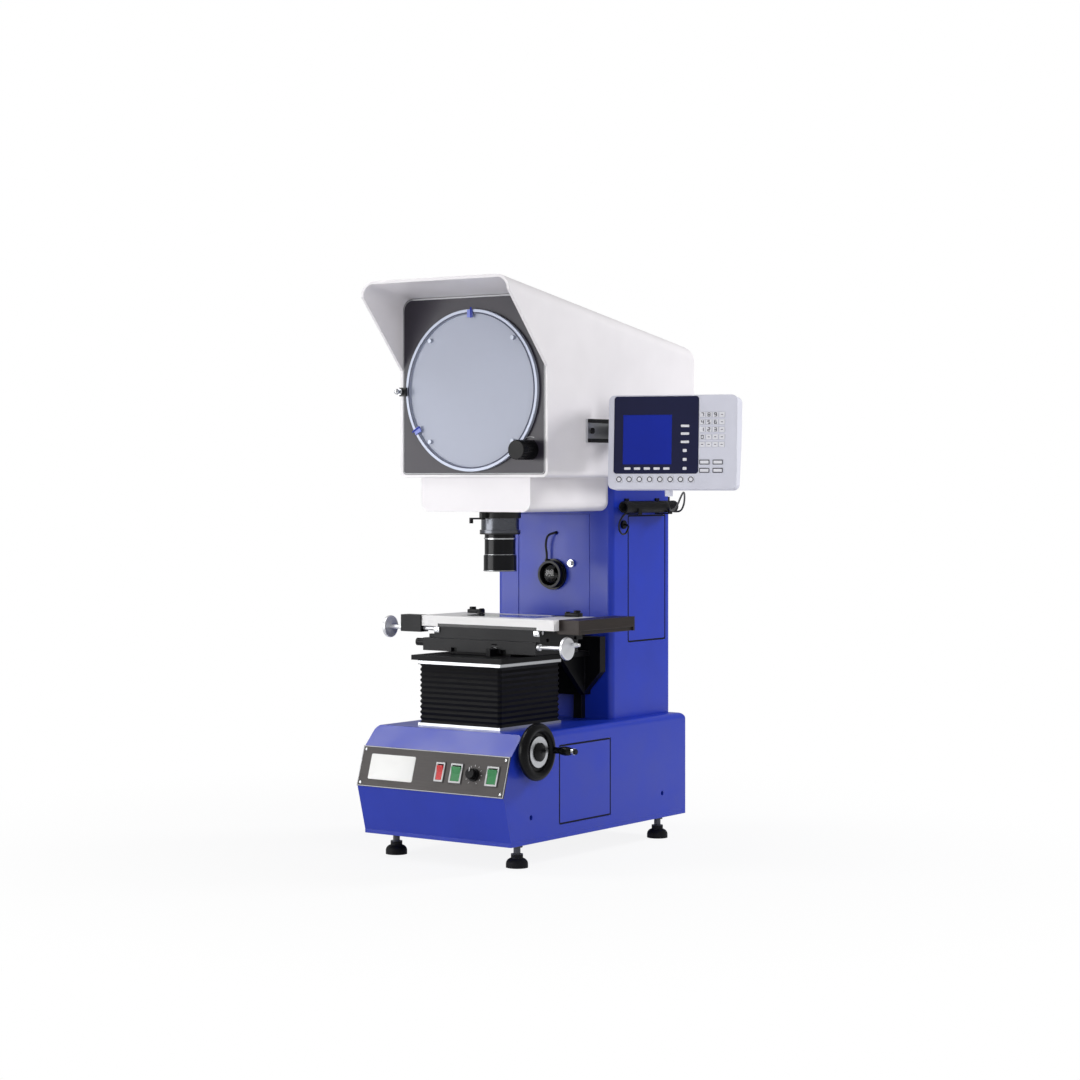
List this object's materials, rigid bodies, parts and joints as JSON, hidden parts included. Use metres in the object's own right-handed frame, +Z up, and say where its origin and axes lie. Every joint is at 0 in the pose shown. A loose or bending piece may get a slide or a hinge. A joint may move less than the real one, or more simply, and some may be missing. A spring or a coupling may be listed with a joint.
{
  "type": "optical comparator",
  "caption": "Vertical profile projector: a base with a focusing cross stage, a column, and a hooded head with a turning screen, projection lens and swivelling digital readout.",
  "frame": {"origin": "on the floor under the middle of the base's underside", "axes": "+X to the machine's right hand as its user faces it, +Y to its rear, +Z up"},
  "size_m": [0.7411, 0.7141, 1.1689],
  "materials": {
    "blue_enamel": "satin enamel",
    "white_enamel": "satin enamel",
    "grey_plate": "fine matt paint",
    "brushed_panel": "brushed and darkened",
    "black_metal": "black anodised or painted",
    "black_plastic": "moulded",
    "red_switch": "lit rocker",
    "green_switch": "lit rocker",
    "steel": "ground",
    "bright_steel": "polished",
    "cast_frame": "machined casting",
    "gear_bronze": "cut teeth",
    "lamp_metal": "as cast",
    "optical_glass": "polished",
    "front_mirror": "front coated",
    "frosted_glass": "ground on one face",
    "ring_silver": "satin",
    "black_rubber": "matt",
    "grey_case": "fine texture",
    "navy_bezel": "printed film",
    "blue_display": "lit panel",
    "pale_keys": "membrane keys",
    "brown_box": "dark anodised"
  },
  "bodies": {
    "base": {"base_shell": "blue_enamel", "base_floor": "blue_enamel", "levelling_feet": "black_rubber", "control_panel": "brushed_panel", "power_inlet": "black_plastic", "lamp_house": "lamp_metal", "lenses": "optical_glass", "mirrors": "front_mirror", "gear_frame": "cast_frame", "handwheel_boss": "black_metal", "hinge_pins": "steel", "bellows": "black_rubber", "bellows_frame": "steel", "column_shell": "blue_enamel", "column_cover": "blue_enamel", "lift_rails": "steel", "surface_lamp": "black_metal", "lamp_cable": "black_rubber", "head_shell": "white_enamel", "face_plate": "grey_plate", "neck": "white_enamel", "lens_mount": "bright_steel", "lens_barrel": "black_metal", "readout_bracket": "black_metal", "readout_lead": "black_rubber", "lead_hank": "black_rubber", "lead_fittings": "black_plastic"},
    "handwheel": {"handwheel_shaft": "steel", "handwheel": "black_plastic"},
    "handwheel_grip": {"handwheel_grip": "black_plastic"},
    "lift_gear": {"lift_gear": "gear_bronze"},
    "knee": {"knee": "black_metal", "lift_rack": "steel"},
    "saddle": {"saddle": "black_metal"},
    "saddle_crank": {"saddle_crank": "bright_steel"},
    "saddle_grip": {"saddle_grip": "bright_steel"},
    "table": {"cross_carriage": "black_metal", "table": "white_enamel", "table_glass": "optical_glass", "work_clips": "black_metal", "scale_box": "brown_box", "screw_block": "black_metal"},
    "cross_crank": {"cross_crank": "bright_steel"},
    "cross_grip": {"cross_grip": "bright_steel"},
    "base_door": {"base_door": "blue_enamel"},
    "column_door": {"column_door": "blue_enamel"},
    "power_rocker": {"power_rocker": "red_switch"},
    "contour_rocker": {"contour_rocker": "green_switch"},
    "surface_rocker": {"surface_rocker": "green_switch"},
    "dimmer_knob": {"dimmer_knob": "black_plastic"},
    "screen": {"screen_ring": "ring_silver", "screen_glass": "frosted_glass", "screen_clips": "bright_steel"},
    "screen_knob": {"screen_knob": "black_plastic"},
    "screen_lock": {"screen_lock": "bright_steel"},
    "lens_lever": {"lens_lever": "black_metal"},
    "readout": {"readout_case": "grey_case", "readout_bezel": "navy_bezel", "readout_display": "blue_display", "readout_keys": "pale_keys"}
  },
  "joints": [
    {"name": "handwheel_turn", "type": "hinge", "parent": "base", "child": "handwheel", "pos_m": [0.2, -0.268, 0.232], "axis": [1, 0, 0], "range_deg": [-755, 755]},
    {"name": "handwheel_grip_spin", "type": "hinge", "parent": "handwheel", "child": "handwheel_grip", "pos_m": [0.237, -0.221, 0.232], "axis": [1, 0, 0], "continuous": true},
    {"name": "lift_gear_turn", "type": "hinge", "parent": "base", "child": "lift_gear", "pos_m": [0, -0.237, 0.18779], "axis": [1, 0, 0], "range_deg": [-215, 215]},
    {"name": "lift_slide", "type": "slide", "parent": "base", "child": "knee", "axis": [0, 0, 1], "range_m": [-0.045, 0.045], "deforming": ["bellows"]},
    {"name": "in_out_slide", "type": "slide", "parent": "knee", "child": "saddle", "axis": [0, 1, 0], "range_m": [-0.025, 0.025]},
    {"name": "in_out_crank_turn", "type": "hinge", "parent": "saddle", "child": "saddle_crank", "pos_m": [0.15, -0.175, 0.43], "axis": [1, 0, 0], "range_deg": [-239, 239]},
    {"name": "in_out_grip_spin", "type": "hinge", "parent": "saddle_crank", "child": "saddle_grip", "pos_m": [0.224, -0.16265, 0.43713], "axis": [1, 0, 0], "continuous": true},
    {"name": "cross_slide", "type": "slide", "parent": "saddle", "child": "table", "axis": [1, 0, 0], "range_m": [-0.095, 0.055]},
    {"name": "cross_crank_turn", "type": "hinge", "parent": "table", "child": "cross_crank", "pos_m": [-0.2, -0.173, 0.459], "axis": [1, 0, 0], "range_deg": [-6850, 3970]},
    {"name": "cross_grip_spin", "type": "hinge", "parent": "cross_crank", "child": "cross_grip", "pos_m": [-0.248, -0.16587, 0.44665], "axis": [1, 0, 0], "continuous": true},
    {"name": "base_door_swing", "type": "hinge", "parent": "base", "child": "base_door", "pos_m": [0.1795, 0.0279, 0.155], "axis": [0, 0, 1], "range_deg": [0, 95]},
    {"name": "column_door_swing", "type": "hinge", "parent": "base", "child": "column_door", "pos_m": [0.1445, 0.2969, 0.557], "axis": [0, 0, 1], "range_deg": [0, 95]},
    {"name": "power_rocker_tilt", "type": "hinge", "parent": "base", "child": "power_rocker", "pos_m": [0.02, -0.33369, 0.18429], "axis": [1, 0, 0], "range_deg": [-16, 0]},
    {"name": "contour_rocker_tilt", "type": "hinge", "parent": "base", "child": "contour_rocker", "pos_m": [0.06, -0.33369, 0.18429], "axis": [1, 0, 0], "range_deg": [-16, 0]},
    {"name": "surface_rocker_tilt", "type": "hinge", "parent": "base", "child": "surface_rocker", "pos_m": [0.148, -0.33369, 0.18429], "axis": [1, 0, 0], "range_deg": [-16, 0]},
    {"name": "dimmer_turn", "type": "hinge", "parent": "base", "child": "dimmer_knob", "pos_m": [0.103, -0.3375, 0.1855], "axis": [0, -0.9534, 0.3017], "range_deg": [-150, 150]},
    {"name": "screen_turn", "type": "hinge", "parent": "base", "child": "screen", "pos_m": [0, -0.203, 0.948], "axis": [0, 1, 0], "continuous": true},
    {"name": "screen_knob_turn", "type": "hinge", "parent": "base", "child": "screen_knob", "pos_m": [0.14296, -0.203, 0.8259], "axis": [0, 1, 0], "continuous": true},
    {"name": "screen_lock_turn", "type": "hinge", "parent": "base", "child": "screen_lock", "pos_m": [-0.1715, -0.215, 0.948], "axis": [0, 1, 0], "range_deg": [-180, 180]},
    {"name": "lens_lever_turn", "type": "hinge", "parent": "base", "child": "lens_lever", "pos_m": [-0.0071, -0.1575, 0.687], "axis": [0, 0, 1], "range_deg": [0, 100]},
    {"name": "readout_swivel", "type": "hinge", "parent": "base", "child": "readout", "pos_m": [0.331, 0.06, 0.866], "axis": [0, 0, 1], "range_deg": [-20, 25]}
  ],
  "couplings": [
    {"joint": "lift_gear_turn", "follows": "lift_slide", "rad_per_m": 83.333},
    {"joint": "handwheel_turn", "follows": "lift_slide", "rad_per_m": -291.67},
    {"joint": "in_out_crank_turn", "follows": "in_out_slide", "rad_per_m": -166.67},
    {"joint": "cross_crank_turn", "follows": "cross_slide", "rad_per_m": 1256.6},
    {"joint": "screen_knob_turn", "follows": "screen_turn", "ratio": -5.7554}
  ]
}
